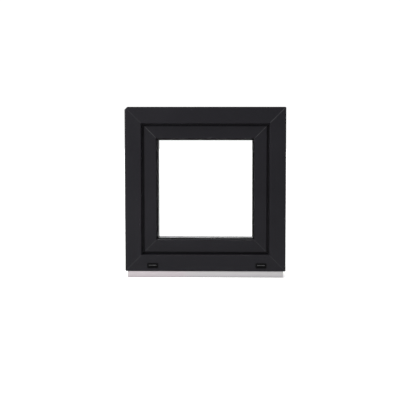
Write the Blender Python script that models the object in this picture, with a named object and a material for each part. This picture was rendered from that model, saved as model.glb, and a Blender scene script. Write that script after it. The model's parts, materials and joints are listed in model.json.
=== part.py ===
"""Small turn-and-tilt window: a sash with double glazing in a mitred PVC frame, with an inside lever handle.

The outside face looks towards -Y and the room is towards +Y. The origin is the middle of the sill profile's
underside. Design sizes are in millimetres, and node() turns them into metres.

Sections are drawn as (depth, y) points. Depth is the distance inwards from the frame's outer edge, so one
section serves all four sides of the frame, of the sash and of every ring-shaped seal.
"""

import math

import bmesh
import bpy
from mathutils import Vector
from mathutils.geometry import tessellate_polygon

MM = 0.001
GAP = 0.3  # between pieces that touch on the real window
MITRE_GAP = 0.22  # along the member, half of the joint at each mitre

# Frame and sill
FRAME_WIDTH = 600.0
FRAME_HEIGHT = 614.0
FRAME_DEPTH = 70.0
SILL_HEIGHT = 24.0
SILL_LENGTH = 582.0
SILL_FRONT = -30.0
SILL_BACK = 28.0
FRAME_BASE = SILL_HEIGHT + GAP
FRAME_TOP = FRAME_BASE + FRAME_HEIGHT
CENTRE_Z = FRAME_BASE + FRAME_HEIGHT / 2
OUTSIDE = -FRAME_DEPTH / 2
INSIDE = FRAME_DEPTH / 2
LEG_DEPTH = 62.5  # face width of the outside leg
LEG_BACK = -13.0
REBATE_DEPTH = 42.0  # where the hardware gap's floor lies
TORN_CORNER = 11.0  # the upper left corner is cut back this far, the others by EASED_CORNER
EASED_CORNER = 3.0

# Sash
SASH_RIM = 54.0
SASH_RIM_FRONT = -9.0
SASH_FACE = -21.0
SASH_FACE_EDGE = 72.0
GLAZING_LEG = 118.0
GLAZING_FLOOR = 98.0
OVERLAP_EDGE = 34.0
OVERLAP_FRONT = 38.0
SASH_INSIDE = 49.0
GROOVE_MID = 16.0  # y of the hardware groove's centre line

# Glass
PANE_EDGE = 104.0
PANE_THICK = 4.0
CAVITY = 16.0
SPACER = (115.0, 122.0)
OUTER_SIGHT_LINE = 122.5
INNER_SIGHT_LINE = 125.0

# Hinges
HINGE_DEPTH = 27.0
HINGE_X = -FRAME_WIDTH / 2 + HINGE_DEPTH
HINGE_Y = 45.0
TILT_Z = FRAME_BASE + HINGE_DEPTH
CORNER_TOP = 44.6  # top of the corner bearing, just under the corner pivot's head
CUP_RADIUS = 8.0
PIVOT_RADIUS = 4.0
TILT_PIN_RADIUS = 2.05

# Handle and gearbox
SPINDLE_DEPTH = 72.0
SPINDLE_X = FRAME_WIDTH / 2 - SPINDLE_DEPTH
SPINDLE_SQUARE = 7.0
SCREW_SPACING = 43.0
LEVER_LENGTH = 128.0
STEM_RADIUS = 9.0
SCREW_BORE = 2.9
SCREW_RADIUS = 2.4
SCREW_HEAD_RADIUS = 4.6
ROSETTE_TOP = 57.0
COVER_TOP = 61.0
GEAR_MODULE = 1.25
GEAR_TEETH = 18
PITCH_RADIUS = GEAR_MODULE * GEAR_TEETH / 2
TOOTH_PITCH = math.pi * GEAR_MODULE
BACKLASH = 0.15  # taken off each flank at the pitch line
PRESSURE_ANGLE = math.radians(20)
GEAR_FRONT, GEAR_BACK = 13.0, 19.0
ROD_STROKE = math.pi * PITCH_RADIUS  # for half a turn of the handle

# Lock rods, faceplates and cams
PLATE = (54.3, 56.7)
PLATE_Y = (8.3, 23.7)
ROD = (57.1, 59.1)
ROD_Y = (10.4, 21.6)
CAM_RADIUS = 3.8
CAM_END = 46.5
UPPER_CAM, LOWER_CAM = 160.0, -120.0
TOP_CAM, TILT_CAM = 110.0, 150.0

# Stay arm at the top
STAY_REACH = 250.0
STAY_Z = 590.0
EYE_HALF = 3.8
EYE_RADIUS = 5.8
EYE_BORE = 2.9
STAY_PIN_RADIUS = 2.5

DRAIN_X = (-197.0, 208.0)
DRAIN_Z = FRAME_BASE + 21.0


# ---------------------------------------------------------------- outlines


def rounded(corners, steps=3):
    """A polygon whose (x, y, radius) corners become arcs where the radius isn't 0."""
    points = []
    for i, (x, y, radius) in enumerate(corners):
        here = Vector((x, y))
        if radius == 0:
            points.append((x, y))
            continue
        to_last = (Vector(corners[i - 1][:2]) - here).normalized()
        to_next = (Vector(corners[(i + 1) % len(corners)][:2]) - here).normalized()
        half = to_last.angle(to_next) / 2
        centre = here + (to_last + to_next).normalized() * radius / math.sin(half)
        first = here + to_last * radius / math.tan(half) - centre
        last = here + to_next * radius / math.tan(half) - centre
        start = math.atan2(first.y, first.x)
        turn = (math.atan2(last.y, last.x) - start + math.pi) % (2 * math.pi) - math.pi
        for k in range(steps + 1):
            angle = start + turn * k / steps
            points.append((centre.x + radius * math.cos(angle), centre.y + radius * math.sin(angle)))
    return points


def rectangle(x, y, radius=0.0, steps=3):
    (x0, x1), (y0, y1) = x, y
    return rounded([(x0, y0, radius), (x1, y0, radius), (x1, y1, radius), (x0, y1, radius)], steps)


def circle(x, y, radius, count=20):
    angles = [2 * math.pi * (k + 0.5) / count for k in range(count)]
    return [(x + radius * math.cos(a), y + radius * math.sin(a)) for a in angles]


def channel(depth, y, thick, lip):
    """A rolled steel C section, open towards the room."""
    (d0, d1), (y0, y1) = depth, y
    return [
        (d0, y0), (d1, y0), (d1, y1), (d1 - lip, y1), (d1 - lip, y1 - thick), (d1 - thick, y1 - thick),
        (d1 - thick, y0 + thick), (d0 + thick, y0 + thick), (d0 + thick, y1 - thick),
        (d0 + lip, y1 - thick), (d0 + lip, y1), (d0, y1),
    ]


# ---------------------------------------------------------------- solids, as (points, faces)


def extruded(loops, near, far):
    """The solid between two ends. The first loop is the outline and the others are holes through it."""
    points = [point for loop in loops for point in loop]
    count = len(points)
    faces = []
    start = 0
    for loop in loops:
        for i in range(len(loop)):
            a = start + i
            b = start + (i + 1) % len(loop)
            faces.append((a, b, b + count, a + count))
        start += len(loop)
    for cap in tessellate_polygon([[Vector((*point, 0)) for point in loop] for loop in loops]):
        faces.append(tuple(cap))
        faces.append(tuple(i + count for i in cap))
    return [near(p) for p in points] + [far(p) for p in points], faces


def prism(axis, loops, low, high):
    """Loops are drawn in the two other axes, in X, Y, Z order."""

    def at(level):
        places = {
            "x": lambda p: (level, p[0], p[1]),
            "y": lambda p: (p[0], level, p[1]),
            "z": lambda p: (p[0], p[1], level),
        }
        return places[axis]

    return extruded(loops, at(low), at(high))


def box(x, y, z):
    return prism("z", [rectangle(x, y)], *z)


def from_edge(side, depth, y, along):
    """The place at this depth from the outer edge on one side, and this far along it from its middle."""
    return {
        "hinge": (-FRAME_WIDTH / 2 + depth, y, CENTRE_Z + along),
        "lock": (FRAME_WIDTH / 2 - depth, y, CENTRE_Z + along),
        "head": (along, y, FRAME_TOP - depth),
        "foot": (along, y, FRAME_BASE + depth),
    }[side]


def half_length(side):
    return (FRAME_HEIGHT if side in ("hinge", "lock") else FRAME_WIDTH) / 2


def mitred(side, loops):
    """A bar of this section along one side, with its ends cut at 45 degrees."""
    half = half_length(side) - MITRE_GAP
    return extruded(
        loops,
        lambda p: from_edge(side, p[0], p[1], p[0] - half),
        lambda p: from_edge(side, p[0], p[1], half - p[0]),
    )


def straight(side, loops, along):
    return extruded(
        loops,
        lambda p: from_edge(side, p[0], p[1], along[0]),
        lambda p: from_edge(side, p[0], p[1], along[1]),
    )


def edge_box(side, depth, y, along):
    return straight(side, [rectangle(depth, y)], along)


def stud(side, y, along, radius, depth, count=16):
    """A round pin that stands in the depth direction."""
    return extruded(
        [circle(along, y, radius, count)],
        lambda p: from_edge(side, depth[0], p[1], p[0]),
        lambda p: from_edge(side, depth[1], p[1], p[0]),
    )


def ring(outline):
    """One closed rectangle of this section round all four sides."""
    points = []
    for depth, y in outline:
        x = FRAME_WIDTH / 2 - depth
        z = FRAME_HEIGHT / 2 - depth
        points += [(sx * x, y, CENTRE_Z + sz * z) for sx, sz in ((-1, -1), (1, -1), (1, 1), (-1, 1))]
    faces = []
    for i in range(len(outline)):
        j = (i + 1) % len(outline)
        for k in range(4):
            m = (k + 1) % 4
            faces.append((4 * i + k, 4 * i + m, 4 * j + m, 4 * j + k))
    return points, faces


def lofted(loops):
    """A solid skinned over loops of equal length, closed by its first and last loop."""
    count = len(loops[0])
    points = [point for loop in loops for point in loop]
    faces = [tuple(range(count)), tuple(range(len(points) - count, len(points)))]
    for level in range(len(loops) - 1):
        base = level * count
        for i in range(count):
            j = (i + 1) % count
            faces.append((base + i, base + j, base + count + j, base + count + i))
    return points, faces


# ---------------------------------------------------------------- objects


def finish(name, colour, roughness, metallic=0.0, transmission=0.0):
    material = bpy.data.materials.new(name)
    material.use_nodes = True
    shader = material.node_tree.nodes["Principled BSDF"]
    shader.inputs["Base Color"].default_value = (*colour, 1.0)
    shader.inputs["Roughness"].default_value = roughness
    shader.inputs["Metallic"].default_value = metallic
    shader.inputs["Transmission Weight"].default_value = transmission
    return material


def pivot(name, place, parent=None):
    """An empty on a joint's axis, which carries the pieces that move about it."""
    empty = bpy.data.objects.new(name, None)
    empty.location = Vector(place) * MM
    if parent:
        empty.location -= parent.matrix_world.translation
        empty.parent = parent
    bpy.context.scene.collection.objects.link(empty)
    bpy.context.view_layer.update()
    return empty


def node(name, shape, material=None, parent=None):
    points, faces = shape
    origin = parent.matrix_world.translation if parent else Vector((0, 0, 0))
    bm = bmesh.new()
    verts = [bm.verts.new(Vector(point) * MM - origin) for point in points]
    for face in faces:
        bm.faces.new([verts[i] for i in face])
    bmesh.ops.recalc_face_normals(bm, faces=bm.faces)
    mesh = bpy.data.meshes.new(name)
    bm.to_mesh(mesh)
    bm.free()
    mesh.shade_smooth()
    mesh.set_sharp_from_angle(angle=math.radians(32))
    if material:
        mesh.materials.append(material)
    obj = bpy.data.objects.new(name, mesh)
    obj.parent = parent
    bpy.context.scene.collection.objects.link(obj)
    return obj


def reshape(obj, operation, *shapes):
    """Cuts the shapes from the object, or joins them to it."""
    for shape in shapes:
        tool = node(f"{obj.name}_{operation.lower()}", shape)
        tool.hide_render = True
        tool.display_type = "WIRE"
        step = obj.modifiers.new(operation.title(), "BOOLEAN")
        step.operation = operation
        step.solver = "MANIFOLD"  # EXACT loses the long sections with several chambers
        step.object = tool


def cut(obj, *shapes):
    reshape(obj, "DIFFERENCE", *shapes)


def join(obj, *shapes):
    reshape(obj, "UNION", *shapes)


# ---------------------------------------------------------------- frame

FRAME_OUTLINE = rounded([
    (0, OUTSIDE, 4), (60, OUTSIDE, 1.5), (LEG_DEPTH, -31, 1), (LEG_DEPTH, LEG_BACK, 1),
    (58.2, LEG_BACK, 0), (58.2, -15.2, 0), (55.2, -15.2, 0), (55.2, LEG_BACK, 0),  # seal groove
    (38, LEG_BACK, 0), (38, -2, 0), (REBATE_DEPTH, 0, 0), (REBATE_DEPTH, INSIDE, 3), (0, INSIDE, 3),
    (0, 14, 0), (3, 14, 0), (3, 9, 0), (0, 9, 0),  # anchor groove
    (0, -9, 0), (3, -9, 0), (3, -14, 0), (0, -14, 0),  # anchor groove
])
# No two chambers line up exactly, so that the triangles between them always have some area.
FRAME_CHAMBERS = [
    rectangle((6.5, 30), (-32, -18.2)),
    rectangle((33, 59.5), (-31.8, -18.6)),
    rectangle((6.8, 35), (-15.4, 13.7)),
    rectangle((6.3, 22), (17, 32)),
    rectangle((25, 39), (16.7, 31.7)),
]
FRAME_STEEL = channel((7.4, 34.4), (-14.8, 13.1), 1.5, 7.5)
STEEL_END = 46.0  # a reinforcement stops this far short of the frame's outer edge


def corner_wedge(side_x, side_z, size):
    """The triangle cut from one outer corner."""
    x = side_x * FRAME_WIDTH / 2
    z = CENTRE_Z + side_z * FRAME_HEIGHT / 2
    over = 1.0
    loop = [
        (x + side_x * over, z + side_z * over),
        (x - side_x * (size + over), z + side_z * over),
        (x + side_x * over, z - side_z * (size + over)),
    ]
    return prism("y", [loop], OUTSIDE - 5, INSIDE + 5)


def build_frame(pvc, steel):
    members = {
        "hinge": ("frame_hinge_jamb", [(-1, 1), (-1, -1)]),
        "lock": ("frame_lock_jamb", [(1, 1), (1, -1)]),
        "head": ("frame_head", [(-1, 1), (1, 1)]),
        "foot": ("frame_foot", [(-1, -1), (1, -1)]),
    }
    for side, (name, corners) in members.items():
        member = node(name, mitred(side, [FRAME_OUTLINE, *FRAME_CHAMBERS]), pvc)
        for corner in corners:
            cut(member, corner_wedge(*corner, TORN_CORNER if corner == (-1, 1) else EASED_CORNER))
        if side == "foot":
            slot_y, slot_z = (OUTSIDE - 2, -30), (DRAIN_Z - 2.5, DRAIN_Z + 2.5)
            cut(member, *(box((x - 15, x + 15), slot_y, slot_z) for x in DRAIN_X))
        reach = half_length(side) - STEEL_END
        node(f"{name}_steel", straight(side, [FRAME_STEEL], (-reach, reach)), steel)


def build_sill(pvc):
    outline = rounded([
        (SILL_FRONT, SILL_HEIGHT, 0.8), (SILL_FRONT, 4, 0.8),
        (SILL_FRONT + 1.6, 2.4, 0.5), (SILL_FRONT + 1.6, 0, 0.8),
        (SILL_BACK, 0, 0.8), (SILL_BACK, 8, 0), (SILL_BACK - 3, 8, 0), (SILL_BACK - 3, 14, 0),
        (SILL_BACK, 14, 0), (SILL_BACK, SILL_HEIGHT, 0.8),
    ], 2)
    spans = ((-25.8, -11, 2.6), (-8.4, 6, 2.9), (8.6, 22.4, 3.1))
    chambers = [rectangle((front, back), (wall, SILL_HEIGHT - wall)) for front, back, wall in spans]
    node("sill_profile", prism("x", [outline, *chambers], -SILL_LENGTH / 2, SILL_LENGTH / 2), pvc)


def build_drain_caps(plastic):
    """A hooded cover over each drain slot in the foot's outside face."""
    low, high = DRAIN_Z - 9.5, DRAIN_Z + 9.5
    for name, x in zip(("drain_cap_left", "drain_cap_right"), DRAIN_X):
        outline = rectangle((x - 20, x + 20), (low, high), 2.5, 2)
        cap = node(name, prism("y", [outline], OUTSIDE - GAP - 3, OUTSIDE - GAP), plastic)
        mouth = box((x - 16.5, x + 16.5), (OUTSIDE - 5, OUTSIDE + 2), (DRAIN_Z + 2.4, DRAIN_Z + 6.4))
        hollow = box((x - 16.5, x + 16.5), (OUTSIDE - GAP - 1.4, OUTSIDE + 2), (low + 3, DRAIN_Z + 2.0))
        cut(cap, mouth, hollow)


def build_strikers(zinc):
    """Plates on the frame's rebate floor, each with a keep that stands beside the cam's path."""
    places = {
        "striker_upper": ("lock", UPPER_CAM, (7, 29), 22.5),
        "striker_lower": ("lock", LOWER_CAM, (7, 29), 22.5),
        "striker_top": ("head", TOP_CAM, (-29, -7), 22.5),
        "striker_tilt": ("foot", TILT_CAM, (-54, -28), 25.0),
    }
    for name, (side, centre, keep, keep_y) in places.items():
        along = (centre + min(keep[0], -32) - 3, centre + max(keep[1], 32))
        plate = node(name, straight(side, [rectangle((REBATE_DEPTH + GAP, 44.6), (6, 29.5))], along), zinc)
        block = rounded([(44.0, keep_y, 0), (49.3, keep_y, 1.2), (49.3, 29.5, 1.2), (44.0, 29.5, 0)], 2)
        join(plate, straight(side, [block], (centre + keep[0], centre + keep[1])))


# ---------------------------------------------------------------- sash

SASH_OUTLINE = rounded([
    (SASH_RIM, SASH_RIM_FRONT, 1.2), (69.5, SASH_RIM_FRONT, 0), (69.5, -18.5, 1),
    (SASH_FACE_EDGE, SASH_FACE, 1),
    (115.5, SASH_FACE, 1.5), (GLAZING_LEG, -18, 1), (GLAZING_LEG, -7, 0),
    (112, -7, 0), (112, -9.2, 0), (109, -9.2, 0), (109, -7, 0),  # gasket groove
    (GLAZING_FLOOR, -7, 0), (GLAZING_FLOOR, SASH_INSIDE, 1.5), (OVERLAP_EDGE, SASH_INSIDE, 3.5),
    (OVERLAP_EDGE, OVERLAP_FRONT, 1), (SASH_RIM, OVERLAP_FRONT, 0),
    (SASH_RIM, 24, 0), (57, 24, 0), (57, 22, 0), (66, 22, 0),  # hardware groove
    (66, 10, 0), (57, 10, 0), (57, 8, 0), (SASH_RIM, 8, 0),
])
SASH_CHAMBERS = [
    rectangle((57.3, 69.2), (-6, 5)),
    rectangle((72.5, 95), (-18.2, 4.7)),
    rectangle((98.4, 115), (-17.9, -12)),
    rectangle((68.8, 94.8), (7.7, 25)),
    rectangle((56.7, 95.3), (28, 46)),
    rectangle((37.5, 53.7), (41, 45.7)),
]
SASH_STEEL = channel((73.1, 94.4), (-17.6, 4.1), 1.5, 6)


def spindle_bore(radius, y, offset=0.0):
    return prism("y", [circle(SPINDLE_X, CENTRE_Z + offset, radius)], *y)


def screw_bores(radius, y):
    return [spindle_bore(radius, y, side * SCREW_SPACING / 2) for side in (-1, 1)]


def build_sash(pvc, steel, parent):
    members = {
        "hinge": "sash_hinge_stile",
        "lock": "sash_lock_stile",
        "head": "sash_top_rail",
        "foot": "sash_bottom_rail",
    }
    for side, name in members.items():
        member = node(name, mitred(side, [SASH_OUTLINE, *SASH_CHAMBERS]), pvc, parent)
        if side == "lock":
            pocket = edge_box(side, (65, 87.5), (9.9, 22.1), (-49, 49))
            cut(member, pocket, spindle_bore(7.5, (20, 55)), *screw_bores(3.4, (20, 55)))
        reach = half_length(side) - 100
        node(f"{name}_steel", straight(side, [SASH_STEEL], (-reach, reach)), steel, parent)


def build_glazing(glass, spacer, sealant, pvc, plastic, rubber, parent):
    panes = {"outer_pane": -PANE_THICK, "inner_pane": CAVITY}
    x = FRAME_WIDTH / 2 - PANE_EDGE
    z = FRAME_HEIGHT / 2 - PANE_EDGE
    for name, front in panes.items():
        node(name, box((-x, x), (front, front + PANE_THICK), (CENTRE_Z - z, CENTRE_Z + z)), glass, parent)
    between = (GAP, CAVITY - GAP)
    node("edge_sealant", ring(rectangle((PANE_EDGE + 0.5, SPACER[0] - GAP), between)), sealant, parent)
    node("spacer_bar", ring(rectangle(SPACER, between, 0.8, 1)), spacer, parent)
    front = -PANE_THICK - GAP
    outer_lip = [
        (100, -6.7), (109.4, -6.7), (109.4, -8.8), (111.6, -8.8), (111.6, -6.7), (118.4, -6.7),
        (118.4, -9.5), (120.5, -9.5), (OUTER_SIGHT_LINE, front - 1.2), (OUTER_SIGHT_LINE, front), (100, front),
    ]
    node("outer_glazing_gasket", ring(outer_lip), rubber, parent)
    back = CAVITY + PANE_THICK + GAP
    inner_lip = [
        (100, back), (INNER_SIGHT_LINE, back), (INNER_SIGHT_LINE, back + 1.2),
        (120.8, 25.6), (119.3, 25.6), (119.3, 23), (100, 23),
    ]
    node("inner_glazing_gasket", ring(inner_lip), rubber, parent)
    bead = rounded([
        (98.4, 23.3, 0), (118.9, 23.3, 0), (118.9, 26, 0), (120.5, 28, 0.5),
        (120.5, 32, 2), (105, 47.5, 3), (98.4, 48.4, 0.6),
    ])
    hollow = [(101, 26), (116.5, 26), (117, 32), (104.5, 44.5), (101, 45)]
    beads = {
        "hinge": "bead_hinge_side",
        "lock": "bead_lock_side",
        "head": "bead_top",
        "foot": "bead_bottom",
    }
    for side, name in beads.items():
        node(name, mitred(side, [bead, hollow]), pvc, parent)
    for name, centre in {"setting_block_left": -125, "setting_block_right": 125}.items():
        depth = (GLAZING_FLOOR + GAP, PANE_EDGE - GAP)
        across = (-PANE_THICK, CAVITY + PANE_THICK)
        node(name, edge_box("foot", depth, across, (centre - 50, centre + 50)), plastic, parent)


def build_seals(rubber, sash):
    foot = [(55.5, -12.7), (55.5, -14.9), (57.9, -14.9), (57.9, -12.7)]
    node("frame_seal", ring([(52.5, -12.7), *foot, (61, -12.7), (61.8, -11.5), (60, -9.3), (54, -9.3)]), rubber)
    lip = [(35.2, INSIDE + GAP + 0.6), (37, INSIDE + GAP), (40.5, INSIDE + GAP), (40.5, 37.7), (35.2, 37.7)]
    seal = node("sash_seal", ring(lip), rubber, sash)
    # The stay arm's crank passes through the seal beside the top hinge.
    cut(seal, box((HINGE_X + 6, HINGE_X + 20), (34, 39), (STAY_Z - 5.5, STAY_Z + 5.5)))


# ---------------------------------------------------------------- handle, gearbox and lock rods


def involute(radius):
    """The involute function at this radius, 0 inside the base circle."""
    angle = math.acos(min(1.0, PITCH_RADIUS * math.cos(PRESSURE_ANGLE) / radius))
    return math.tan(angle) - angle


def pinion_outline():
    """Gear teeth round the spindle, one of them pointing at the rack, towards +X."""
    half_at_pitch = (TOOTH_PITCH / 4 - BACKLASH) / PITCH_RADIUS
    radii = (PITCH_RADIUS - 1.25 * GEAR_MODULE, PITCH_RADIUS, PITCH_RADIUS + 0.84 * GEAR_MODULE)
    halves = [half_at_pitch + involute(PITCH_RADIUS) - involute(radius) for radius in radii]
    points = []
    for tooth in range(GEAR_TEETH):
        middle = 2 * math.pi * tooth / GEAR_TEETH
        flank = [(radius, middle - half) for radius, half in zip(radii, halves)]
        flank += [(radius, middle + half) for radius, half in zip(reversed(radii), reversed(halves))]
        points += [(SPINDLE_X + r * math.cos(a), CENTRE_Z + r * math.sin(a)) for r, a in flank]
    return points


def rack_outline(low, high):
    """Rack teeth as (along, depth) points, with a gap at 0 for the pinion's tooth."""
    pitch_depth = SPINDLE_DEPTH - PITCH_RADIUS
    root, tip = ROD[1] + 0.05, pitch_depth + GEAR_MODULE
    half = TOOTH_PITCH / 4 - BACKLASH
    slope = math.tan(PRESSURE_ANGLE)
    at_root = half + (pitch_depth - root) * slope
    at_tip = half - (tip - pitch_depth) * slope
    points = [(low * TOOTH_PITCH, ROD[0] + 0.5), (low * TOOTH_PITCH, root)]
    for tooth in range(low, high):
        middle = (tooth + 0.5) * TOOTH_PITCH
        points += [(middle - at_root, root), (middle - at_tip, tip)]
        points += [(middle + at_tip, tip), (middle + at_root, root)]
    return points + [(high * TOOTH_PITCH, root), (high * TOOTH_PITCH, ROD[0] + 0.5)]


def rod_with_cams(name, side, along, cams, zinc, parent):
    rod = node(name, edge_box(side, ROD, ROD_Y, along), zinc, parent)
    join(rod, *(stud(side, GROOVE_MID, cam, CAM_RADIUS, (CAM_END, ROD[0] + 1)) for cam in cams))
    return rod


def faceplate(name, side, along, slots, zinc, parent):
    plate = node(name, edge_box(side, PLATE, PLATE_Y, along), zinc, parent)
    for low, high, width in slots:
        across = (GROOVE_MID - width / 2, GROOVE_MID + width / 2)
        cut(plate, edge_box(side, (PLATE[0] - 2, PLATE[1] + 2), across, (low, high)))


def cam_slot(start, travel):
    """The slot for a cam that slides from start by travel."""
    room = CAM_RADIUS + 1.7
    return min(start, start + travel) - room, max(start, start + travel) + room, 2 * CAM_RADIUS + 1


def build_hardware(zinc, sash, lock, top, bottom):
    lock_rod = rod_with_cams("lock_rod", "lock", (-205, 232), (UPPER_CAM, LOWER_CAM), zinc, lock)
    teeth = extruded(
        [rack_outline(-4, 13)],
        lambda p: from_edge("lock", p[1], GEAR_FRONT, p[0]),
        lambda p: from_edge("lock", p[1], GEAR_BACK, p[0]),
    )
    join(lock_rod, teeth)
    rod_with_cams("top_rod", "head", (25, 190), (TOP_CAM,), zinc, top)
    rod_with_cams("bottom_rod", "foot", (62, 226), (TILT_CAM,), zinc, bottom)
    stay_slot = HINGE_X + STAY_REACH
    slots = [cam_slot(UPPER_CAM, -ROD_STROKE), cam_slot(LOWER_CAM, -ROD_STROKE)]
    faceplate("lock_faceplate", "lock", (-215, 215), slots, zinc, sash)
    slots = [cam_slot(TOP_CAM, ROD_STROKE), (stay_slot - 10, stay_slot + 9, 8.8)]
    faceplate("top_faceplate", "head", (-60, 215), slots, zinc, sash)
    faceplate("bottom_faceplate", "foot", (60, 215), [cam_slot(TILT_CAM, -ROD_STROKE)], zinc, sash)
    case = node("gearbox_case", edge_box("lock", (59.7, 86.9), (10.3, 21.7), (-48, 48)), zinc, sash)
    cut(
        case,
        edge_box("lock", (55, 85.2), (GEAR_FRONT - 0.6, GEAR_BACK + 0.6), (-14.5, 14.5)),
        edge_box("lock", (55, 62.8), (GEAR_FRONT - 0.6, GEAR_BACK + 0.6), (-60, 60)),
        spindle_bore(6.0, (5, 25)),
        *screw_bores(SCREW_BORE, (5, 25)),
    )


def grip_loops():
    """Cross-sections of the lever from above its neck to its lower end."""
    stations, sides = 12, 14
    above = 12.0
    loops = []
    for k in range(stations):
        t = 0.5 - 0.5 * math.cos(math.pi * (k + 0.35) / (stations - 0.3))
        blunt = (1 - abs(2 * t - 1) ** 16) ** 0.5
        wide = (11.5 - 2.5 * t) * blunt
        thick = (7.0 - 1.2 * t) * blunt
        middle = 80.0 + 2.5 * math.sin(math.pi * t)
        z = CENTRE_Z + above - (LEVER_LENGTH + above) * t
        loop = []
        for i in range(sides):
            angle = 2 * math.pi * (i + 0.5) / sides
            c, s = math.cos(angle), math.sin(angle)
            loop.append((
                SPINDLE_X + wide * math.copysign(abs(c) ** 0.75, c),
                middle + thick * math.copysign(abs(s) ** 0.75, s),
                z,
            ))
        loops.append(loop)
    return loops


def square(half):
    return rectangle((SPINDLE_X - half, SPINDLE_X + half), (CENTRE_Z - half, CENTRE_Z + half))


def build_handle(metal, zinc, plastic, sash, handle):
    plan = rectangle((SPINDLE_X - 13, SPINDLE_X + 13), (CENTRE_Z - 33, CENTRE_Z + 33), 11, 4)
    base = node("handle_rosette", prism("y", [plan], SASH_INSIDE + GAP, ROSETTE_TOP), plastic, sash)
    cut(base, spindle_bore(STEM_RADIUS + 0.6, (45, 65)), *screw_bores(SCREW_BORE, (45, 65)))
    plan = rectangle((SPINDLE_X - 15.4, SPINDLE_X + 15.4), (CENTRE_Z - 35.4, CENTRE_Z + 35.4), 13, 5)
    inner = rectangle((SPINDLE_X - 13.6, SPINDLE_X + 13.6), (CENTRE_Z - 33.6, CENTRE_Z + 33.6), 11.2, 5)
    cover = node("rosette_cover", prism("y", [plan], SASH_INSIDE + GAP, COVER_TOP), metal, sash)
    cut(cover, prism("y", [inner], 40, COVER_TOP - 1.6), spindle_bore(STEM_RADIUS + 1.2, (50, 70)))
    for name, side in {"handle_screw_lower": -1, "handle_screw_upper": 1}.items():
        offset = side * SCREW_SPACING / 2
        screw = node(name, spindle_bore(SCREW_RADIUS, (14, ROSETTE_TOP + 0.6), offset), zinc, sash)
        join(screw, spindle_bore(SCREW_HEAD_RADIUS, (ROSETTE_TOP + GAP, ROSETTE_TOP + 2.1), offset))
    lever = node("handle_lever", lofted(grip_loops()), metal, handle)
    join(lever, spindle_bore(STEM_RADIUS, (ROSETTE_TOP + 0.6, 79)))
    cut(lever, prism("y", [square(SPINDLE_SQUARE / 2 + GAP)], 50, 76))
    node("handle_spindle", prism("y", [square(SPINDLE_SQUARE / 2)], 12.7, 75.5), zinc, handle)
    bore = square(SPINDLE_SQUARE / 2 + GAP)
    node("drive_pinion", prism("y", [pinion_outline(), bore], GEAR_FRONT, GEAR_BACK), zinc, handle)


# ---------------------------------------------------------------- hinges


def upright(radius, z, count=20):
    """A round bar on the turning axis."""
    return prism("z", [circle(HINGE_X, HINGE_Y, radius, count)], *z)


def build_lower_hinge(zinc, plastic, corner, sash):
    """A cup on the frame carries the pivot, which turns in it and carries the sash's lug on a level pin."""
    cup_low, cup_high = 30.0, 43.0
    plate_y = (INSIDE + GAP, 38.0)
    tilt_bore = circle(HINGE_Y, TILT_Z, TILT_PIN_RADIUS + 0.35)
    bearing = node("corner_bearing", box((-294, -262), plate_y, (28, CORNER_TOP)), zinc)
    cup = (cup_low, cup_high)
    neck_x = (HINGE_X - CUP_RADIUS, HINGE_X + CUP_RADIUS)
    join(bearing, box(neck_x, (37, HINGE_Y), cup), upright(CUP_RADIUS, cup))
    cut(bearing, upright(PIVOT_RADIUS + 0.4, (cup_low + 3, cup_high + 5)))
    around = rectangle((HINGE_X - 10.2, HINGE_X + 10.2), (38.3, 55.4), 4, 3)
    inside = rectangle((HINGE_X - 8.5, HINGE_X + 8.5), (36, 53.7), 3, 3)
    cover = node("corner_bearing_cover", prism("z", [around], 27.5, CORNER_TOP), plastic)
    cut(cover, prism("z", [inside], 20, 43.3), upright(6.1, (40, 50)))
    neck = node("corner_pivot", upright(PIVOT_RADIUS, (cup_low + 3.5, 46)), zinc, corner)
    foot = CORNER_TOP + GAP
    head = rounded([(40.6, foot, 0), (49.4, foot, 0), (49.4, 56.4, 4), (40.6, 56.4, 4)])
    join(neck, upright(5.5, (43.4, 45.2)), prism("x", [head], HINGE_X - 6, HINGE_X + 0.7))
    cut(neck, prism("x", [tilt_bore], HINGE_X - 10, HINGE_X + 5))
    lug = node("corner_hinge", box((HINGE_X + 1.2, HINGE_X + 6.1), (40.5, 52.4), (46.7, 61)), zinc, sash)
    join(
        lug,
        box((HINGE_X + 1.2, -248), (SASH_INSIDE + GAP, 52.4), (56, 72)),
        box((-264, -248), (SASH_INSIDE + GAP, 51.9), (70, 130)),
    )
    cut(lug, prism("x", [tilt_bore], HINGE_X, HINGE_X + 8))
    pin = circle(HINGE_Y, TILT_Z, TILT_PIN_RADIUS)
    node("corner_hinge_pin", prism("x", [pin], HINGE_X - 6.6, HINGE_X + 6.3), zinc, sash)


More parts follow.
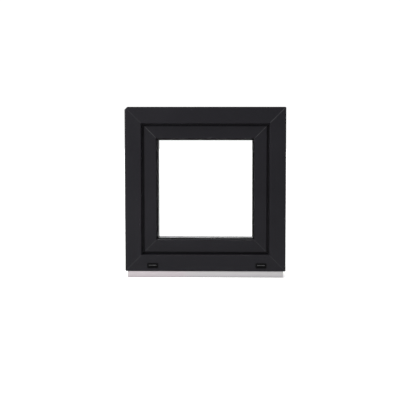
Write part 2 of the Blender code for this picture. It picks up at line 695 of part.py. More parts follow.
def build_upper_hinge(zinc, plastic, stay):
    """Two eyes on the frame hold the stay arm's eye on an upright pin."""
    low = (574.0, STAY_Z - EYE_HALF - 0.8)
    high = (STAY_Z + EYE_HALF + 0.8, 606.0)
    bearing = node("stay_bearing", box((-291, HINGE_X + 3.5), (INSIDE + GAP, 38.3), (566, 612)), zinc)
    for z in (low, high):
        join(bearing, box((HINGE_X - EYE_RADIUS, HINGE_X + 3.5), (37, HINGE_Y), z), upright(EYE_RADIUS, z))
    cut(bearing, upright(EYE_BORE, (570, 610)))
    pin = node("stay_bearing_pin", upright(STAY_PIN_RADIUS, (571, 607)), zinc)
    join(pin, upright(4.2, (606.4, 609)))
    cover = node("stay_bearing_cover", box((-293, -279.3), (38.7, 51), (564, 614)), plastic)
    cut(cover, box((-291.4, -270), (36, 49.4), (565.6, 612.4)))

    arm_z = (STAY_Z - 1.4, STAY_Z + 1.4)
    crank = [
        (3.4, 0), (5.6, 0), (6.0, -7.8), (18.2, -7.8),
        (18.2, -18), (16.6, -18), (16.6, -9.3), (4.4, -9.3),
    ]
    strip = [
        (16.6, -11), (34, -10), (252, -22), (258, -25),
        (258, -33), (252, -36), (34, -27), (16.6, -24),
    ]

    def beside_hinge(points):
        return [(HINGE_X + x, HINGE_Y + y) for x, y in points]

    arm = node("stay_arm", upright(5.6, (STAY_Z - EYE_HALF, STAY_Z + EYE_HALF)), zinc, stay)
    join(
        arm,
        prism("z", [beside_hinge(crank)], STAY_Z - EYE_HALF, STAY_Z + EYE_HALF),
        prism("z", [beside_hinge(strip)], *arm_z),
        prism("z", [circle(HINGE_X + STAY_REACH, GROOVE_MID, 3, 16)], 579.5, STAY_Z),
    )
    cut(arm, upright(EYE_BORE, (570, 610)))


# ---------------------------------------------------------------- the whole window


def main():
    for old in list(bpy.data.objects):
        bpy.data.objects.remove(old)

    dark_pvc = finish("dark_pvc", (0.024, 0.023, 0.028), 0.38)
    sill_pvc = finish("sill_pvc", (0.55, 0.53, 0.54), 0.45)
    rubber = finish("seal_rubber", (0.006, 0.006, 0.006), 0.6)
    steel = finish("galvanised_steel", (0.5, 0.51, 0.52), 0.4, 1.0)
    zinc = finish("hardware_zinc", (0.62, 0.62, 0.6), 0.3, 1.0)
    glass = finish("glass", (0.95, 0.97, 0.96), 0.02, 0.0, 1.0)
    spacer = finish("spacer", (0.35, 0.35, 0.36), 0.4, 0.6)
    sealant = finish("sealant", (0.01, 0.01, 0.01), 0.7)
    plastic = finish("black_plastic", (0.012, 0.012, 0.013), 0.4)
    metal = finish("handle_aluminium", (0.55, 0.55, 0.56), 0.3, 1.0)

    corner = pivot("sash_turn_axis", (HINGE_X, HINGE_Y, TILT_Z))
    sash = pivot("sash_tilt_axis", (HINGE_X, HINGE_Y, TILT_Z), corner)
    stay = pivot("stay_arm_axis", (HINGE_X, HINGE_Y, STAY_Z), corner)
    handle = pivot("handle_axis", (SPINDLE_X, SASH_INSIDE, CENTRE_Z), sash)
    lock = pivot("lock_rod_guide", from_edge("lock", ROD[0], GROOVE_MID, 0), sash)
    top = pivot("top_rod_guide", from_edge("head", ROD[0], GROOVE_MID, 0), sash)
    bottom = pivot("bottom_rod_guide", from_edge("foot", ROD[0], GROOVE_MID, 0), sash)

    build_frame(dark_pvc, steel)
    build_sill(sill_pvc)
    build_drain_caps(plastic)
    build_strikers(zinc)
    build_sash(dark_pvc, steel, sash)
    build_glazing(glass, spacer, sealant, dark_pvc, plastic, rubber, sash)
    build_seals(rubber, sash)
    build_hardware(zinc, sash, lock, top, bottom)
    build_handle(metal, zinc, plastic, sash, handle)
    build_lower_hinge(zinc, plastic, corner, sash)
    build_upper_hinge(zinc, plastic, stay)


main()
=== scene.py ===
"""Looks of a small turn-and-tilt window with anthracite PVC profiles, seen from outside.

Sizes are in metres, except that rounded() and rectangle() take millimetres. A depth is the distance inwards
from the frame's outer edge.
"""

import json
import math

import bmesh
import bpy
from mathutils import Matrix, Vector
from mathutils.geometry import tessellate_polygon


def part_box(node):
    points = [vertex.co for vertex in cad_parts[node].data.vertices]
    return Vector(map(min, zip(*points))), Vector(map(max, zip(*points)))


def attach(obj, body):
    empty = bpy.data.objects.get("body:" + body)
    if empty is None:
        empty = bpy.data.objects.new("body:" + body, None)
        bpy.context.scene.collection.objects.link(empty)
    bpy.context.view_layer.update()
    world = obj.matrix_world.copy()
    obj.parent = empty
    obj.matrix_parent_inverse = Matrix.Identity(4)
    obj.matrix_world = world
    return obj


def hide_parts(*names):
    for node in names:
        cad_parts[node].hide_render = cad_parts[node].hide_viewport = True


MM = 0.001
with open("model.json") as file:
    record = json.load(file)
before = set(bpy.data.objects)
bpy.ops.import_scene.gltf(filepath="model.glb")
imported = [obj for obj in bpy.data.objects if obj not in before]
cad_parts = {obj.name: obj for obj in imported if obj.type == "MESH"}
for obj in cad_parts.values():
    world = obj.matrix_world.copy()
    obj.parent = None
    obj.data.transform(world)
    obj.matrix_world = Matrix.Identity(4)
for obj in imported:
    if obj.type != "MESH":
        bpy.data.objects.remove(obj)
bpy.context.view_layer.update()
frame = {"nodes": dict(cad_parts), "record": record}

HEAD_LOW, HEAD_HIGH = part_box("frame_head")
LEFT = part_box("frame_hinge_jamb")[0].x
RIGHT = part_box("frame_lock_jamb")[1].x
TOP, BASE = HEAD_HIGH.z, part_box("frame_foot")[0].z
OUTSIDE, INSIDE = HEAD_LOW.y, HEAD_HIGH.y
MID_X, MID_Z = (LEFT + RIGHT) / 2, (TOP + BASE) / 2
HALF_W, HALF_H = (RIGHT - LEFT) / 2, (TOP - BASE) / 2
SILL_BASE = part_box("sill_profile")[0].z
SPINDLE_LOW, SPINDLE_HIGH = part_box("handle_spindle")
SPINDLE_X = (SPINDLE_LOW.x + SPINDLE_HIGH.x) / 2
SASH_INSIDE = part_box("sash_top_rail")[1].y
SIDES = ("hinge", "lock", "head", "foot")
SKY_DIM, SKY_BRIGHT = 0.2, 0.75
KEY_POWER, SUN_POWER = 34, 2.1  # W, and W/m2
PLATE_THICK = 0.0023  # of a striker, over the frame's rebate floor
STRIKER_SCREW_Y = 0.0150
CAM_Y, CAM_END = 0.016, 0.0465  # the cams' line, and the depth of their ends
SPACER_DEPTH = 0.122  # of the spacer's face, which the two rows of holes are in
HOLE_PITCH, HOLE_ROW = 0.0045, 0.0022
EDGES = {"dark_pvc": 0.0002, "sill_pvc": 0.0003}
PLAIN_EDGE, COVER_EDGE = 0.00015, 0.0008
CLEAR_CORNERS = {"frame_seams_outside": ((1, 1),), "sash_seams_outside": ((-1, 1), (1, 1))}


# ---------------------------------------------------------------- outlines and meshes


def rounded(corners, steps=5):
    """A polygon in metres whose (x, y, radius) corners, in millimetres, become arcs."""
    points = []
    for i, (x, y, radius) in enumerate(corners):
        here = Vector((x, y))
        if radius == 0:
            points.append((x * MM, y * MM))
            continue
        to_last = (Vector(corners[i - 1][:2]) - here).normalized()
        to_next = (Vector(corners[(i + 1) % len(corners)][:2]) - here).normalized()
        half = to_last.angle(to_next) / 2
        centre = here + (to_last + to_next).normalized() * radius / math.sin(half)
        first = here + to_last * radius / math.tan(half) - centre
        last = here + to_next * radius / math.tan(half) - centre
        start = math.atan2(first.y, first.x)
        turn = (math.atan2(last.y, last.x) - start + math.pi) % (2 * math.pi) - math.pi
        for k in range(steps + 1):
            angle = start + turn * k / steps
            arc_x, arc_y = centre.x + radius * math.cos(angle), centre.y + radius * math.sin(angle)
            points.append((arc_x * MM, arc_y * MM))
    return points


def rectangle(width, height, radius=0.0, steps=5):
    """A rectangle round the origin, sizes in millimetres, points in metres."""
    x, y = width / 2, height / 2
    return rounded([(-x, -y, radius), (x, -y, radius), (x, y, radius), (-x, y, radius)], steps)


def circle(radius, count=24):
    """A regular polygon round the origin, radius in metres."""
    angles = (2 * math.pi * k / count for k in range(count))
    return [(radius * math.cos(a), radius * math.sin(a)) for a in angles]


def from_edge(side, depth, y, along):
    """The place at this depth from the frame's outer edge on one side, this far along it from its middle."""
    return {
        "hinge": (LEFT + depth, y, MID_Z + along),
        "lock": (RIGHT - depth, y, MID_Z + along),
        "head": (MID_X + along, y, TOP - depth),
        "foot": (MID_X + along, y, BASE + depth),
    }[side]


def lofted(loops):
    """Points and faces of a solid skinned over loops of equal length and closed at both ends."""
    count = len(loops[0])
    points = [point for loop in loops for point in loop]
    faces = [tuple(range(count)), tuple(range(len(points) - count, len(points)))]
    for level in range(len(loops) - 1):
        base = level * count
        for i in range(count):
            j = (i + 1) % count
            faces.append((base + i, base + j, base + count + j, base + count + i))
    return points, faces


def mesh_piece(name, material, shapes, bevel=0.0, sharp=35):
    """One object from (points, faces) shapes, with its normals outwards and its edges softened."""
    bm = bmesh.new()
    for points, faces in shapes:
        verts = [bm.verts.new(point) for point in points]
        for face in faces:
            bm.faces.new([verts[i] for i in face])
    bmesh.ops.recalc_face_normals(bm, faces=bm.faces)
    mesh = bpy.data.meshes.new(name)
    bm.to_mesh(mesh)
    bm.free()
    mesh.shade_smooth()
    mesh.set_sharp_from_angle(angle=math.radians(sharp))
    mesh.materials.append(material)
    obj = bpy.data.objects.new(name, mesh)
    bpy.context.scene.collection.objects.link(obj)
    soften(obj, bevel)
    return obj


def soften(obj, width):
    if width > 0:
        step = obj.modifiers.new("Bevel", "BEVEL")
        step.width = width
        step.segments = 2
        step.limit_method = "ANGLE"
        step.angle_limit = math.radians(35)
        step.harden_normals = True
        step.use_clamp_overlap = True


def turned(profile, centre, axis, count=28):
    """A round solid from (radius, place along the axis) points."""
    cx, cy, cz = centre
    loops = []
    for radius, t in profile:
        place = {
            "x": lambda p: (t, cy + p[0], cz + p[1]),
            "y": lambda p: (cx + p[0], t, cz + p[1]),
            "z": lambda p: (cx + p[0], cy + p[1], t),
        }[axis]
        loops.append([place(p) for p in circle(radius, count)])
    return lofted(loops)


# ---------------------------------------------------------------- materials


class Surface:
    """A Principled material whose colour, roughness and relief come from noise in the object's own space."""

    def __init__(self, name, roughness, metallic=0.0, specular=0.5):
        self.material = bpy.data.materials.new(name)
        self.material.use_nodes = True
        self.tree = self.material.node_tree
        self.shader = self.tree.nodes["Principled BSDF"]
        self.shader.inputs["Roughness"].default_value = roughness
        self.shader.inputs["Metallic"].default_value = metallic
        self.shader.inputs["Specular IOR Level"].default_value = specular
        self.coordinates = self.tree.nodes.new("ShaderNodeTexCoord")
        self.normal = None

    def noise(self, scale, detail=3.0):
        """A noise pattern. Scale is cells per metre along X, Y and Z."""
        mapping = self.tree.nodes.new("ShaderNodeMapping")
        mapping.inputs["Scale"].default_value = scale
        texture = self.tree.nodes.new("ShaderNodeTexNoise")
        texture.inputs["Scale"].default_value = 1.0
        texture.inputs["Detail"].default_value = detail
        self.tree.links.new(self.coordinates.outputs["Object"], mapping.inputs["Vector"])
        self.tree.links.new(mapping.outputs["Vector"], texture.inputs["Vector"])
        return texture.outputs["Fac"]

    def colour(self, pattern, dark, light, low=0.35, high=0.65):
        ramp = self.tree.nodes.new("ShaderNodeValToRGB")
        ramp.color_ramp.elements[0].position = low
        ramp.color_ramp.elements[1].position = high
        ramp.color_ramp.elements[0].color = (*dark, 1)
        ramp.color_ramp.elements[1].color = (*light, 1)
        self.tree.links.new(pattern, ramp.inputs["Fac"])
        self.tree.links.new(ramp.outputs["Color"], self.shader.inputs["Base Color"])

    def fade(self, axis, span, dark):
        """Darkens the colour towards the low end of a span along one axis."""
        nodes, links = self.tree.nodes, self.tree.links
        split = nodes.new("ShaderNodeSeparateXYZ")
        amount = nodes.new("ShaderNodeMapRange")
        amount.inputs["From Min"].default_value, amount.inputs["From Max"].default_value = span
        amount.inputs["To Min"].default_value, amount.inputs["To Max"].default_value = dark, 1.0
        shade = nodes.new("ShaderNodeVectorMath")
        shade.operation = "SCALE"
        before = self.shader.inputs["Base Color"].links[0].from_socket
        links.new(self.coordinates.outputs["Object"], split.inputs["Vector"])
        links.new(split.outputs[axis], amount.inputs["Value"])
        links.new(before, shade.inputs["Vector"])
        links.new(amount.outputs["Result"], shade.inputs["Scale"])
        links.new(shade.outputs["Vector"], self.shader.inputs["Base Color"])

    def roughness(self, pattern, low, high):
        spread = self.tree.nodes.new("ShaderNodeMapRange")
        spread.inputs["From Min"].default_value = 0.3
        spread.inputs["From Max"].default_value = 0.7
        spread.inputs["To Min"].default_value = low
        spread.inputs["To Max"].default_value = high
        self.tree.links.new(pattern, spread.inputs["Value"])
        self.tree.links.new(spread.outputs["Result"], self.shader.inputs["Roughness"])

    def relief(self, pattern, depth, strength=1.0):
        bump = self.tree.nodes.new("ShaderNodeBump")
        bump.inputs["Distance"].default_value = depth
        bump.inputs["Strength"].default_value = strength
        self.tree.links.new(pattern, bump.inputs["Height"])
        if self.normal:
            self.tree.links.new(self.normal, bump.inputs["Normal"])
        self.normal = bump.outputs["Normal"]
        self.tree.links.new(self.normal, self.shader.inputs["Normal"])


def dark_pvc(name, along):
    """Anthracite foil on PVC: faint cloudiness, and fine embossed grain that runs along the profile."""
    fine = {"x": (45, 1500, 1500), "z": (1500, 1500, 45)}[along]
    pores = {"x": (160, 2600, 2600), "z": (2600, 2600, 160)}[along]
    surface = Surface(name, 0.38, specular=0.1)
    clouds = surface.noise((5, 5, 5), 4)
    surface.colour(clouds, (0.0058, 0.0055, 0.0072), (0.0074, 0.0070, 0.0090))
    surface.roughness(surface.noise((9, 9, 9), 3), 0.33, 0.42)
    surface.relief(surface.noise(fine, 2), 0.00005, 0.5)
    surface.relief(surface.noise(pores, 2), 0.00003, 0.4)
    return surface.material


def weld_pvc(name, dark, light):
    """Touched-up PVC along a weld, where the foil has been cut away."""
    surface = Surface(name, 0.34, specular=0.2)
    surface.colour(surface.noise((60, 60, 60)), dark, light)
    surface.relief(surface.noise((700, 700, 700)), 0.00006)
    return surface.material


def pale_pvc():
    """Off-white PVC with a pinkish cast in places, and painted shade that darkens it towards its lower edge.
    """
    surface = Surface("pale_pvc", 0.42, specular=0.3)
    surface.colour(surface.noise((6, 12, 12), 2), (0.398, 0.362, 0.377), (0.388, 0.379, 0.384), 0.42, 0.58)
    # Painted shade: the colour is darkened towards the lower edge.
    surface.fade("Z", (0.0, 0.024), 0.68)
    surface.roughness(surface.noise((3, 400, 400)), 0.36, 0.5)
    surface.relief(surface.noise((6, 900, 900), 2), 0.00004, 0.6)
    return surface.material


def rubber():
    surface = Surface("gasket_rubber", 0.6, specular=0.06)
    surface.colour(surface.noise((120, 120, 120)), (0.0016, 0.0016, 0.0017), (0.0034, 0.0034, 0.0036))
    surface.roughness(surface.noise((60, 60, 60)), 0.5, 0.7)
    surface.relief(surface.noise((1500, 1500, 1500)), 0.00004, 0.6)
    return surface.material


def galvanised():
    surface = Surface("galvanised_sheet", 0.4, 1.0)
    surface.colour(surface.noise((140, 140, 140), 2), (0.42, 0.43, 0.44), (0.62, 0.63, 0.64))
    surface.roughness(surface.noise((160, 160, 160)), 0.28, 0.5)
    return surface.material


def zinc():
    surface = Surface("zinc_plating", 0.3, 1.0)
    surface.colour(surface.noise((60, 60, 60)), (0.50, 0.51, 0.52), (0.66, 0.66, 0.66))
    surface.roughness(surface.noise((220, 220, 220)), 0.22, 0.4)
    surface.relief(surface.noise((1800, 1800, 1800), 2), 0.00003, 0.5)
    return surface.material


def brushed_metal():
    surface = Surface("satin_aluminium", 0.3, 1.0)
    surface.colour(surface.noise((700, 700, 12), 3), (0.46, 0.46, 0.47), (0.60, 0.60, 0.61))
    surface.roughness(surface.noise((900, 900, 18)), 0.24, 0.38)
    surface.relief(surface.noise((2400, 2400, 30), 2), 0.00002, 0.5)
    return surface.material


def black_plastic():
    surface = Surface("black_plastic", 0.4, specular=0.03)
    surface.colour(surface.noise((90, 90, 90)), (0.0010, 0.0010, 0.0011), (0.0022, 0.0022, 0.0024))
    surface.roughness(surface.noise((70, 70, 70)), 0.34, 0.48)
    surface.relief(surface.noise((2200, 2200, 2200), 2), 0.00004, 0.6)
    return surface.material


def highlight_lip_plastic():
    """The same plastic in a lighter grey: a painted highlight along the lip's upper face."""
    surface = Surface("painted_highlight_plastic", 0.3, specular=0.5)
    surface.colour(surface.noise((120, 120, 120)), (0.045, 0.045, 0.047), (0.095, 0.095, 0.098))
    surface.relief(surface.noise((1200, 1200, 1200)), 0.00004, 0.5)
    return surface.material


def spacer_metal():
    surface = Surface("spacer_metal", 0.36, 0.9)
    surface.colour(surface.noise((250, 250, 250)), (0.40, 0.40, 0.41), (0.52, 0.52, 0.53))
    surface.roughness(surface.noise((500, 500, 500)), 0.3, 0.45)
    return surface.material


def sealant():
    surface = Surface("edge_sealant", 0.55)
    surface.colour(surface.noise((150, 150, 150)), (0.006, 0.006, 0.006), (0.012, 0.012, 0.012))
    surface.relief(surface.noise((400, 400, 400)), 0.0001)
    return surface.material


def clear_glass():
    """Glass with the slightest wave. Its IOR is below the 1.5 of float glass, for fainter reflections."""
    surface = Surface("float_glass", 0.0)
    surface.shader.inputs["Base Color"].default_value = (0.994, 1, 0.997, 1)
    surface.shader.inputs["Transmission Weight"].default_value = 1.0
    surface.shader.inputs["IOR"].default_value = 1.25
    surface.relief(surface.noise((3, 3, 3), 1), 0.00002, 0.2)
    return surface.material


def floor_paint():
    """White paint that glows a little, so that shadows on it stay light."""
    surface = Surface("studio_floor", 0.7, specular=0.2)
    surface.colour(surface.noise((2, 2, 2)), (0.93, 0.93, 0.93), (0.95, 0.95, 0.95))
    surface.shader.inputs["Emission Color"].default_value = (1, 1, 1, 1)
    surface.shader.inputs["Emission Strength"].default_value = 0.35
    return surface.material


HIGHLIGHT_LIP = highlight_lip_plastic()
LEVEL_PVC = dark_pvc("dark_pvc_level", "x")
UPRIGHT_PVC = dark_pvc("dark_pvc_upright", "z")
FAINT_WELD = weld_pvc("faint_weld", (0.0085, 0.0085, 0.0100), (0.0170, 0.0170, 0.0190))
CLEAR_WELD = weld_pvc("clear_weld", (0.0200, 0.0200, 0.0220), (0.0330, 0.0330, 0.0350))
PALE = pale_pvc()
RUBBER = rubber()
STEEL = galvanised()
ZINC = zinc()
METAL = brushed_metal()
PLASTIC = black_plastic()
SPACER = spacer_metal()
SEALANT = sealant()
GLASS = clear_glass()
SLOT_MATERIALS = {
    "dark_pvc": LEVEL_PVC,
    "sill_pvc": PALE,
    "seal_rubber": RUBBER,
    "galvanised_steel": STEEL,
    "hardware_zinc": ZINC,
    "glass": GLASS,
    "spacer": SPACER,
    "sealant": SEALANT,
    "black_plastic": PLASTIC,
    "handle_aluminium": METAL,
}
UPRIGHT_WORDS = ("jamb", "stile", "hinge_side", "lock_side")


def dress_cad_nodes():
    """Gives every CAD node its material and breaks its sharp edges a little."""
    for part in frame["record"]["subparts"]:
        name, slot = part["node"], part["material_slot"]
        obj = frame["nodes"][name]
        upright = slot == "dark_pvc" and any(word in name for word in UPRIGHT_WORDS)
        obj.data.materials.clear()
        obj.data.materials.append(UPRIGHT_PVC if upright else SLOT_MATERIALS[slot])
        weld = obj.modifiers.new("Weld", "WELD")
        weld.merge_threshold = 0.00001
        if slot == "glass":
            obj.visible_shadow = False
        else:
            soften(obj, COVER_EDGE if name.endswith("_cover") else EDGES.get(slot, PLAIN_EDGE))


dress_cad_nodes()


# ---------------------------------------------------------------- fine pieces


def stamped(loops, place, low, high):
    """A flat solid from an outline and the holes through it, drawn in place's first two directions."""
    flat = [point for loop in loops for point in loop]
    count = len(flat)
    faces = []
    start = 0
    for loop in loops:
        for i in range(len(loop)):
            a, b = start + i, start + (i + 1) % len(loop)
            faces.append((a, b, b + count, a + count))
        start += len(loop)
    for cap in tessellate_polygon([[Vector((*point, 0)) for point in loop] for loop in loops]):
        faces.append(tuple(cap))
        faces.append(tuple(i + count for i in cap))
    return [place(*p, low) for p in flat] + [place(*p, high) for p in flat], faces


def facing(centre, normal):
    """Places (u, v, out) points round a centre, with out along the normal."""
    normal = Vector(normal)
    u = Vector((0, 0, 1)) if abs(normal.z) < 0.5 else Vector((1, 0, 0))
    v = normal.cross(u)
    centre = Vector(centre)
    return lambda a, b, out: tuple(centre + u * a + v * b + normal * out)


def screw_head(centre, normal, radius):
    """A flat head with a cross recess that stands a little proud of its plate."""
    place = facing(centre, normal)
    arm, half = radius * 0.58, radius * 0.15
    quarter = [(half, half), (half, arm), (-half, arm)]
    turns = ((1, 0), (0, 1), (-1, 0), (0, -1))
    cross = [(x * c - y * s, x * s + y * c) for c, s in turns for x, y in quarter]
    rim = circle(radius)
    return [
        stamped([rim], place, 0, 0.0003),
        stamped([[(x * 0.97, y * 0.97) for x, y in rim], cross], place, 0.0003, 0.0011),
    ]


def screws(name, body, spots, normal, radius=0.0032):
    shapes = [shape for spot in spots for shape in screw_head(spot, normal, radius)]
    obj = mesh_piece(name, ZINC, shapes, bevel=0.00018)
    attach(obj, body)


def build_screws():
    """The screws of the faceplates, the strikers and the corner hinge."""
    low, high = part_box("lock_faceplate")
    mid_y = (low.y + high.y) / 2
    spots = [(high.x, mid_y, MID_Z + along) for along in (-0.205, -0.065, 0.065, 0.205)]
    screws("lock_faceplate_screws", "sash", spots, (1, 0, 0))
    low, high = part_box("top_faceplate")
    screws("top_faceplate_screws", "sash", [(x, mid_y, high.z) for x in (-0.05, 0.04, 0.19)], (0, 0, 1))
    low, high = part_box("bottom_faceplate")
    screws("bottom_faceplate_screws", "sash", [(x, mid_y, low.z) for x in (0.075, 0.185)], (0, 0, -1))
    normals = {
        "striker_upper": (-1, 0, 0),
        "striker_lower": (-1, 0, 0),
        "striker_top": (0, 0, -1),
        "striker_tilt": (0, 0, 1),
    }
    for striker, normal in normals.items():
        low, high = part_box(striker)
        level = PLATE_THICK if normal[0] or normal[2] > 0 else -PLATE_THICK
        spots = []
        for end in (-1, 1):
            if normal[0]:
                z = (low.z if end < 0 else high.z) - end * 0.007
                spots.append((high.x - level, STRIKER_SCREW_Y, z))
            else:
                x = (low.x if end < 0 else high.x) - end * 0.007
                spots.append((x, STRIKER_SCREW_Y, low.z + level if level > 0 else high.z + level))
        screws(f"{striker}_screws", "frame", spots, normal, 0.0028)
    low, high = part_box("corner_hinge")
    x = high.x - 0.008
    spots = [(x, high.y - 0.0005, z) for z in (0.088, 0.104, 0.120)]
    screws("corner_hinge_screws", "sash", spots, (0, 1, 0), 0.0030)


def cam_head(side, along):
    """A mushroom head with a hexagonal socket on the end of a cam."""
    centre = Vector(from_edge(side, CAM_END, CAM_Y, along))
    normal = {"lock": (1, 0, 0), "head": (0, 0, 1), "foot": (0, 0, -1)}[side]
    place = facing(centre, normal)
    hexagon = circle(0.0021, 6)
    rim = circle(0.0047, 28)
    profile = ((0.0040, -0.0034), (0.0046, -0.0028), (0.0047, -0.0014))
    skirt = [[place(u, v, out) for u, v in circle(radius, 28)] for radius, out in profile]
    return [lofted(skirt), stamped([rim, hexagon], place, -0.0014, 0.0)]


def build_cam_heads():
    rods = {
        "lock_rod": ("lock", (0.160, -0.120)),
        "top_rod": ("head", (0.110,)),
        "bottom_rod": ("foot", (0.150,)),
    }
    for rod, (side, alongs) in rods.items():
        shapes = [shape for along in alongs for shape in cam_head(side, along)]
        obj = mesh_piece(f"{rod}_cam_heads", ZINC, shapes, bevel=0.0003)
        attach(obj, rod)


def weld_seam(corner, start, end, y, out, width=0.0011):
    """A low rounded ridge along one mitre, from one depth to another, standing out from the face at y."""
    sx, sz = corner
    across = Vector((sx, 0, -sz)).normalized()
    stations = 9
    loops = []
    for k in range(stations):
        depth = start + (end - start) * k / (stations - 1)
        middle = Vector((MID_X + sx * (HALF_W - depth), y, MID_Z + sz * (HALF_H - depth)))
        fade = 0.35 if k in (0, stations - 1) else 1.0
        half = width * fade * (1 + 0.12 * math.sin(5.1 * k + 2 * sx + sz))
        section = ((-1, -0.0001), (-0.55, 0.00010), (0, 0.00016), (0.55, 0.00010), (1, -0.0001))
        loops.append([tuple(middle + across * half * s + Vector((0, out * t * fade, 0))) for s, t in section])
    return lofted(loops)


def build_weld_seams():
    """Seams at all mitres. Those at CLEAR_CORNERS stand out more and are pieces of their own."""
    corners = ((-1, 1), (1, 1), (1, -1), (-1, -1))
    sash_front, sash_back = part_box("sash_top_rail")[0].y, SASH_INSIDE
    seams = {
        "frame_seams_outside": ("frame", 0.0045, 0.0600, OUTSIDE, -1),
        "frame_seams_inside": ("frame", 0.0045, 0.0330, INSIDE, 1),
        "sash_seams_outside": ("sash", 0.0726, 0.1150, sash_front, -1),
        "sash_seams_inside": ("sash", 0.0380, 0.0972, sash_back, 1),
    }
    for name, (body, start, end, y, out) in seams.items():
        faint, clear = [], []
        for corner in corners:
            first = start + 0.004 if body == "frame" and corner == (-1, 1) else start
            group = clear if corner in CLEAR_CORNERS.get(name, ()) else faint
            group.append(weld_seam(corner, first, end, y, out))
        for ending, material, shapes in (("", FAINT_WELD, faint), ("_clear", CLEAR_WELD, clear)):
            if shapes:
                obj = mesh_piece(name + ending, material, shapes, sharp=80)
                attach(obj, body)


def build_drain_covers():
    """A flange on the frame's face and a hood on it, with a long slot whose lower lip stands out, its lighter
    grey a painted highlight.
    """
    for node in ("drain_cap_left", "drain_cap_right"):
        low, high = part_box(node)
        mid = (low + high) / 2
        front, back = low.y, high.y

        def place(x, z, y):
            return (mid.x + x, y, mid.z + z)

        slot = [(x, z + 0.0042) for x, z in rectangle(29, 3.6, 1.2)]
        flange = stamped([rectangle(40, 19, 2.5), slot], place, back - 0.0013, back)
        hood = stamped([rectangle(35.5, 14.8, 2.2), slot], place, front + 0.0006, back - 0.0012)
        lip = [(x, z + 0.0018) for x, z in rectangle(29.6, 1.1, 0.5)]
        bar = stamped([lip], place, front, back - 0.0016)
        louvres = []
        for x in (-9.0, -3.0, 3.0, 9.0):
            rib = [(px + x * MM, pz + 0.0042) for px, pz in rectangle(0.9, 3.8, 0.2)]
            louvres.append(stamped([rib], place, front + 0.0013, back - 0.0004))
        body = mesh_piece(node.replace("cap", "cover"), PLASTIC, [flange, hood, *louvres], bevel=0.00045)
        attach(body, "frame")
        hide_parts(node)
        # The lip's lighter grey is a painted highlight where its upper face catches light.
        edge = mesh_piece(node.replace("cap", "cover") + "_lip", HIGHLIGHT_LIP, [bar], bevel=0.0003)
        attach(edge, "frame")


def build_lever():
    """The inside handle: a stem with a collar, and a grip that narrows towards its lower end."""
    low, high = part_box("handle_lever")
    stations, sides = 36, 36
    above = high.z - MID_Z
    length = MID_Z - low.z + above
    loops = []
    for k in range(stations):
        t = 0.5 - 0.5 * math.cos(math.pi * (k + 0.25) / (stations - 0.5))
        blunt = (1 - abs(2 * t - 1) ** 14) ** 0.5
        wide = (0.0112 - 0.0026 * t + 0.0006 * math.sin(2 * math.pi * t)) * blunt
        thick = (0.0068 - 0.0012 * t) * blunt
        middle = high.y - 0.0089 + 0.0019 * math.sin(math.pi * t)
        loop = []
        for i in range(sides):
            angle = 2 * math.pi * i / sides
            c, s = math.cos(angle), math.sin(angle)
            loop.append((
                SPINDLE_X + wide * math.copysign(abs(c) ** 0.8, c),
                middle + thick * math.copysign(abs(s) ** 0.8, s),
                MID_Z + above - length * t,
            ))
        loops.append(loop)
    stem = [
        (0.0086, 0.0), (0.0090, 0.0004), (0.0090, 0.0052), (0.0084, 0.0058), (0.0084, 0.0064),
        (0.0090, 0.0070), (0.0087, 0.0120), (0.0080, 0.0160), (0.0082, 0.0200), (0.0070, 0.0222),
    ]
    stem = [(radius, low.y + out) for radius, out in stem]
    shapes = [lofted(loops), turned(stem, (SPINDLE_X, 0, MID_Z), "y", 36)]
    obj = mesh_piece("lever_handle", METAL, shapes, sharp=40)
    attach(obj, "handle")
    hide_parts("handle_lever")


def build_rosette():
    """The cover's shell, with soft edges and a bore for the lever's stem."""
    low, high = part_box("rosette_cover")
    mid = (low + high) / 2
    width, height = (high.x - low.x) / MM, (high.z - low.z) / MM
    steps = 11

    def plan(inset, y):
        outline = rectangle(width - 2 * inset, height - 2 * inset, 13 - inset, steps)
        return [(mid.x + x, y, mid.z + z) for x, z in outline]

    def bore(radius, y):
        count = 4 * (steps + 1)
        angles = (math.pi + 2 * math.pi * (k + 0.5) / count for k in range(count))
        return [(mid.x + radius * math.cos(a), y, mid.z + radius * math.sin(a)) for a in angles]

    top = high.y
    soft = 2.6
    loops = [plan(0, low.y)]
    for k in range(7):
        angle = math.pi / 2 * k / 6
        loops.append(plan(soft * (1 - math.cos(angle)), top - soft * MM * (1 - math.sin(angle))))
    loops += [plan(5.0, top), bore(0.0109, top), bore(0.0104, top - 0.0002), bore(0.0102, top - 0.0016)]
    loops += [plan(4.4, top - 0.0016), plan(1.8, top - 0.0022), plan(1.8, low.y)]
    points = [point for loop in loops for point in loop]
    count = len(loops[0])
    faces = []
    for level in range(len(loops)):
        first, second = level * count, (level + 1) % len(loops) * count
        for i in range(count):
            j = (i + 1) % count
            faces.append((first + i, first + j, second + j, second + i))
    obj = mesh_piece("rosette_shell", METAL, [(points, faces)], sharp=50)
    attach(obj, "sash")
    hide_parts("rosette_cover")


def build_spacer_holes():
    """Two rows of small holes along the spacer's face, towards the middle of the cavity, drawn as dark discs:
    painted shade for the hollows.
    """
    low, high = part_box("spacer_bar")
    mid_y = (low.y + high.y) / 2
    shapes = []
    for side in SIDES:
        reach = (HALF_H if side in ("hinge", "lock") else HALF_W) - SPACER_DEPTH - 0.008
        count = int(reach / HOLE_PITCH)
        normal = {"hinge": (1, 0, 0), "lock": (-1, 0, 0), "head": (0, 0, -1), "foot": (0, 0, 1)}[side]
        for k in range(-count, count + 1):
            for row in (-HOLE_ROW, HOLE_ROW):
                place = facing(from_edge(side, SPACER_DEPTH - 0.00002, mid_y + row, k * HOLE_PITCH), normal)
                # A dark disc for each hole: painted shade, not a cut.
                shapes.append(stamped([circle(0.0004, 6)], place, 0, 0.00006))
    obj = mesh_piece("spacer_hole_shade_dots", SEALANT, shapes)
    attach(obj, "sash")


build_screws()
build_cam_heads()
build_weld_seams()
build_drain_covers()
build_lever()
build_rosette()
build_spacer_holes()


# ---------------------------------------------------------------- stage, light and camera


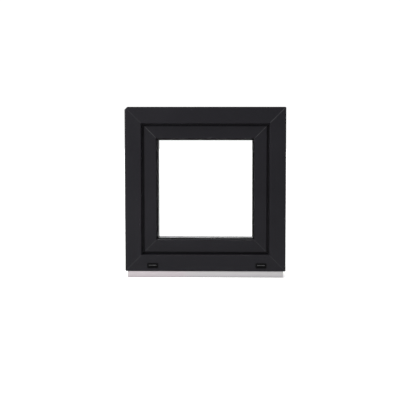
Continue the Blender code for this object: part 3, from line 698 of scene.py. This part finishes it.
def build_world():
    """White to the camera and through glass. The light that it sheds is stronger from the upper left."""
    world = bpy.data.worlds.new("studio")
    bpy.context.scene.world = world
    world.use_nodes = True
    tree = world.node_tree
    nodes, links = tree.nodes, tree.links
    shed = nodes["Background"]
    backdrop = nodes.new("ShaderNodeBackground")
    direction = nodes.new("ShaderNodeTexCoord")
    toward = nodes.new("ShaderNodeVectorMath")
    toward.operation = "DOT_PRODUCT"
    toward.inputs[1].default_value = Vector((-0.7, -0.2, 0.65)).normalized()
    amount = nodes.new("ShaderNodeMapRange")
    amount.inputs["From Min"].default_value = -0.6
    amount.inputs["From Max"].default_value = 1.0
    amount.inputs["To Min"].default_value = SKY_DIM
    amount.inputs["To Max"].default_value = SKY_BRIGHT
    links.new(direction.outputs["Generated"], toward.inputs[0])
    links.new(toward.outputs["Value"], amount.inputs["Value"])
    links.new(amount.outputs["Result"], shed.inputs["Strength"])
    for background in (shed, backdrop):
        background.inputs["Color"].default_value = (1, 1, 1, 1)
    backdrop.inputs["Strength"].default_value = 1.1
    path = nodes.new("ShaderNodeLightPath")
    seen = nodes.new("ShaderNodeMath")
    seen.operation = "MAXIMUM"
    mix = nodes.new("ShaderNodeMixShader")
    links.new(path.outputs["Is Camera Ray"], seen.inputs[0])
    links.new(path.outputs["Is Transmission Ray"], seen.inputs[1])
    links.new(seen.outputs["Value"], mix.inputs["Fac"])
    links.new(shed.outputs["Background"], mix.inputs[1])
    links.new(backdrop.outputs["Background"], mix.inputs[2])
    links.new(mix.outputs["Shader"], nodes["World Output"].inputs["Surface"])
    bpy.context.scene.view_settings.view_transform = "Standard"


def build_floor():
    size = 16.0
    level = SILL_BASE - 0.0002
    corners = [(-size, -size, level), (size, -size, level), (size, size, level), (-size, size, level)]
    mesh_piece("studio_floor", floor_paint(), [(corners, [(0, 1, 2, 3)])])


def lamp(name, kind, place, target, energy, size):
    data = bpy.data.lights.new(name, kind)
    data.energy = energy
    if kind == "SUN":
        data.angle = size
    else:
        data.shape = "DISK"
        data.size = size
    light = bpy.data.objects.new(name, data)
    light.location = place
    light.rotation_euler = (Vector(target) - Vector(place)).to_track_quat("-Z", "Y").to_euler()
    light.visible_camera = False
    bpy.context.scene.collection.objects.link(light)


def build_camera():
    """Slightly to the right of the window's middle and above it, looking almost straight at it."""
    distance, right, up = 3.4, 0.0985, 0.254
    yaw, pitch = math.radians(1.2), math.radians(3.7)
    data = bpy.data.cameras.new("camera")
    data.sensor_width = 36
    data.lens = data.sensor_width * distance / 1.483
    data.shift_x, data.shift_y = -0.0315, -0.049
    camera = bpy.data.objects.new("camera", data)
    back = Vector((math.sin(yaw) * math.cos(pitch), -math.cos(yaw) * math.cos(pitch), math.sin(pitch)))
    camera.location = (MID_X + right, OUTSIDE - distance, MID_Z + up)
    camera.rotation_euler = (-back).to_track_quat("-Z", "Y").to_euler()
    bpy.context.scene.collection.objects.link(camera)
    bpy.context.scene.camera = camera


build_world()
build_floor()
lamp("key_light", "AREA", (-1.5, -1.5, 0.95), (-0.25, 0, 0.4), KEY_POWER, 0.8)
lamp("top_light", "SUN", (0.0, -0.45, 1.2), (0, 0, 0), SUN_POWER, math.radians(28))
build_camera()
